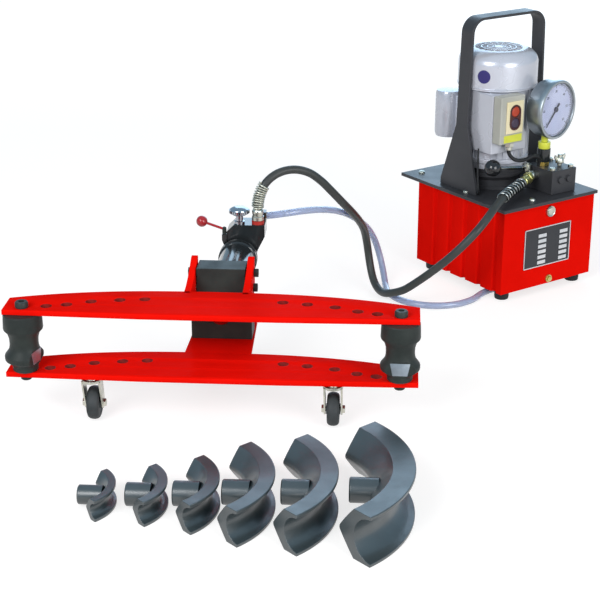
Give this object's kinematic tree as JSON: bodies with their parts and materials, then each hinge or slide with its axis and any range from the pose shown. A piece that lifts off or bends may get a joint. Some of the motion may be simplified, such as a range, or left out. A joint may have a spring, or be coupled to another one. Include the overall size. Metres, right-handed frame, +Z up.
{
  "type": "electro-hydraulic pipe bender",
  "caption": "Hydraulic pipe bender on casters: twin slotted wings, horizontal ram, pivoting end shoes and loose bending formers, fed by hoses from an electric pump on an oil tank.",
  "frame": {"origin": "on the floor, in the middle of the box round everything but the hoses and their coiled guards", "axes": "+Z up; the wings run along X; the ram pushes towards -Y, and the pump stands on the +X, +Y side, turned 38.3 degrees about Z"},
  "size_m": [0.9276, 1.2666, 0.4846],
  "materials": {
    "red_paint": "bright red gloss stove enamel on flame-cut plate and pressed sheet",
    "black_cast_paint": "black paint over sand-cast steel, slightly rough",
    "gloss_black_paint": "gloss black paint on turned steel",
    "black_paint": "satin black powder coat",
    "former_cast": "sand-cast iron with dark blue-grey paint, worn bright on the lips",
    "motor_grey_paint": "pale grey paint on cast aluminium and sheet",
    "zinc_plate": "bright zinc plate on turned and pressed steel",
    "chrome_plate": "hard chrome, ground and polished",
    "machined_steel": "plain machined steel, fine turning marks",
    "guard_steel": "blackened spring steel with bright crests",
    "brass": "turned brass",
    "grey_rubber": "grey solid rubber tread on a moulded hub",
    "black_rubber": "moulded black rubber",
    "black_hose": "matt black rubber cover",
    "clear_hose": "clear bluish soft vinyl tube",
    "red_plastic": "glossy red moulded plastic",
    "black_plastic": "glossy black moulded plastic",
    "grey_plastic": "pale grey textured moulding"
  },
  "bodies": {
    "bender_and_pump": {"lower_wing_plate": "red_paint", "upper_wing_plate": "red_paint", "tank": "red_paint", "cylinder_block": "black_cast_paint", "ear_bolt_left": "black_cast_paint", "ear_bolt_right": "black_cast_paint", "cylinder_barrel": "gloss_black_paint", "valve_body": "gloss_black_paint", "tank_cover": "black_paint", "carry_handle": "black_paint", "motor_base": "black_paint", "valve_block": "black_paint", "gauge_stem": "black_paint", "motor_body": "motor_grey_paint", "fan_cowl": "motor_grey_paint", "terminal_housing": "motor_grey_paint", "capacitor_housing": "motor_grey_paint", "hose_coupler": "zinc_plate", "pump_hose_fitting": "zinc_plate", "return_elbow": "zinc_plate", "sight_plug": "zinc_plate", "drain_plug": "zinc_plate", "hose_guard_cylinder": "zinc_plate", "return_spring": "machined_steel", "piston_pump": "machined_steel", "gauge_case": "machined_steel", "hose_guard_pump": "guard_steel", "rod_gland": "brass", "rubber_foot_1": "black_rubber", "rubber_foot_2": "black_rubber", "rubber_foot_3": "black_rubber", "rubber_foot_4": "black_rubber", "pressure_hose": "black_hose", "return_hose": "clear_hose", "switch_box": "grey_plastic"},
    "ram": {"ram": "chrome_plate"},
    "pin_left": {"pivot_pin_left": "black_cast_paint"},
    "pin_right": {"pivot_pin_right": "black_cast_paint"},
    "shoe_left": {"end_shoe_left": "black_cast_paint"},
    "shoe_right": {"end_shoe_right": "black_cast_paint"},
    "caster_left": {"caster_fork_left": "zinc_plate"},
    "caster_right": {"caster_fork_right": "zinc_plate"},
    "caster_rear": {"caster_fork_rear": "zinc_plate"},
    "wheel_left": {"caster_wheel_left": "grey_rubber"},
    "wheel_right": {"caster_wheel_right": "grey_rubber"},
    "wheel_rear": {"caster_wheel_rear": "grey_rubber"},
    "release": {"release_lever": "red_plastic"},
    "filler": {"filler_cap": "chrome_plate"},
    "rotor": {"rotor_and_fan": "machined_steel"},
    "start": {"start_button": "black_plastic"},
    "stop": {"stop_button": "red_plastic"},
    "needle": {"gauge_needle": "black_plastic"},
    "adjuster": {"pressure_adjuster": "zinc_plate"},
    "control": {"control_lever": "black_plastic"},
    "former_1": {"bending_former_1": "former_cast"},
    "former_2": {"bending_former_2": "former_cast"},
    "former_3": {"bending_former_3": "former_cast"},
    "former_4": {"bending_former_4": "former_cast"},
    "former_5": {"bending_former_5": "former_cast"},
    "former_6": {"bending_former_6": "former_cast"}
  },
  "joints": [
    {"name": "ram_extend", "type": "slide", "parent": "bender_and_pump", "child": "ram", "axis": [0, -1, 0], "range_m": [0, 0.165], "stiffness_N_per_m": 1500, "springref_m": -0.02, "deforming": ["return_spring"]},
    {"name": "pin_left_lift", "type": "slide", "parent": "bender_and_pump", "child": "pin_left", "axis": [0, 0, 1], "range_m": [0, 0.13]},
    {"name": "shoe_left_turn", "type": "hinge", "parent": "bender_and_pump", "child": "shoe_left", "pos_m": [-0.43529, -0.249, 0.12675], "axis": [0, 0, 1], "continuous": true},
    {"name": "pin_right_lift", "type": "slide", "parent": "bender_and_pump", "child": "pin_right", "axis": [0, 0, 1], "range_m": [0, 0.13]},
    {"name": "shoe_right_turn", "type": "hinge", "parent": "bender_and_pump", "child": "shoe_right", "pos_m": [0.11071, -0.249, 0.12675], "axis": [0, 0, 1], "continuous": true},
    {"name": "caster_left_swivel", "type": "hinge", "parent": "bender_and_pump", "child": "caster_left", "pos_m": [-0.33929, -0.24797, 0.07], "axis": [0, 0, 1], "continuous": true},
    {"name": "wheel_left_roll", "type": "hinge", "parent": "caster_left", "child": "wheel_left", "pos_m": [-0.33929, -0.23397, 0.025], "axis": [1, 0, 0], "continuous": true},
    {"name": "caster_right_swivel", "type": "hinge", "parent": "bender_and_pump", "child": "caster_right", "pos_m": [0.01471, -0.24797, 0.07], "axis": [0, 0, 1], "continuous": true},
    {"name": "wheel_right_roll", "type": "hinge", "parent": "caster_right", "child": "wheel_right", "pos_m": [0.01471, -0.23397, 0.025], "axis": [1, 0, 0], "continuous": true},
    {"name": "caster_rear_swivel", "type": "hinge", "parent": "bender_and_pump", "child": "caster_rear", "pos_m": [-0.16229, -0.05197, 0.07], "axis": [0, 0, 1], "continuous": true},
    {"name": "wheel_rear_roll", "type": "hinge", "parent": "caster_rear", "child": "wheel_rear", "pos_m": [-0.16229, -0.03797, 0.025], "axis": [1, 0, 0], "continuous": true},
    {"name": "release_turn", "type": "hinge", "parent": "bender_and_pump", "child": "release", "pos_m": [-0.18629, 0.14233, 0.173], "axis": [0, 0, 1], "range_deg": [-25, 25]},
    {"name": "filler_unscrew", "type": "hinge", "parent": "bender_and_pump", "child": "filler", "pos_m": [-0.16129, 0.14883, 0.196], "axis": [0, 0, 1], "continuous": true},
    {"name": "rotor_spin", "type": "hinge", "parent": "bender_and_pump", "child": "rotor", "pos_m": [0.27604, 0.44346, 0.29], "axis": [0, 0, 1], "continuous": true},
    {"name": "start_press", "type": "slide", "parent": "bender_and_pump", "child": "start", "axis": [-0.6198, 0.7848, 0], "range_m": [0, 0.003], "stiffness_N_per_m": 500, "springref_m": -0.002},
    {"name": "stop_press", "type": "slide", "parent": "bender_and_pump", "child": "stop", "axis": [-0.6198, 0.7848, 0], "range_m": [0, 0.003], "stiffness_N_per_m": 500, "springref_m": -0.002},
    {"name": "needle_turn", "type": "hinge", "parent": "bender_and_pump", "child": "needle", "pos_m": [0.37813, 0.39458, 0.3243], "axis": [-0.7581, 0.6521, 0], "range_deg": [0, 264], "stiffness_Nm_per_rad": 0.002, "springref_deg": -22.92},
    {"name": "adjuster_turn", "type": "hinge", "parent": "bender_and_pump", "child": "adjuster", "pos_m": [0.39184, 0.40494, 0.23], "axis": [0, 0, 1], "range_deg": [-180, 180]},
    {"name": "control_swing", "type": "hinge", "parent": "bender_and_pump", "child": "control", "pos_m": [0.33476, 0.40574, 0.214], "axis": [0, 0, 1], "range_deg": [0, 30]},
    {"name": "former_1_lift", "type": "slide", "parent": "bender_and_pump", "child": "former_1", "axis": [0, 0, 1], "range_m": [0, 0.2]},
    {"name": "former_2_lift", "type": "slide", "parent": "bender_and_pump", "child": "former_2", "axis": [0, 0, 1], "range_m": [0, 0.2]},
    {"name": "former_3_lift", "type": "slide", "parent": "bender_and_pump", "child": "former_3", "axis": [0, 0, 1], "range_m": [0, 0.2]},
    {"name": "former_4_lift", "type": "slide", "parent": "bender_and_pump", "child": "former_4", "axis": [0, 0, 1], "range_m": [0, 0.2]},
    {"name": "former_5_lift", "type": "slide", "parent": "bender_and_pump", "child": "former_5", "axis": [0, 0, 1], "range_m": [0, 0.2]},
    {"name": "former_6_lift", "type": "slide", "parent": "bender_and_pump", "child": "former_6", "axis": [0, 0, 1], "range_m": [0, 0.2]}
  ]
}
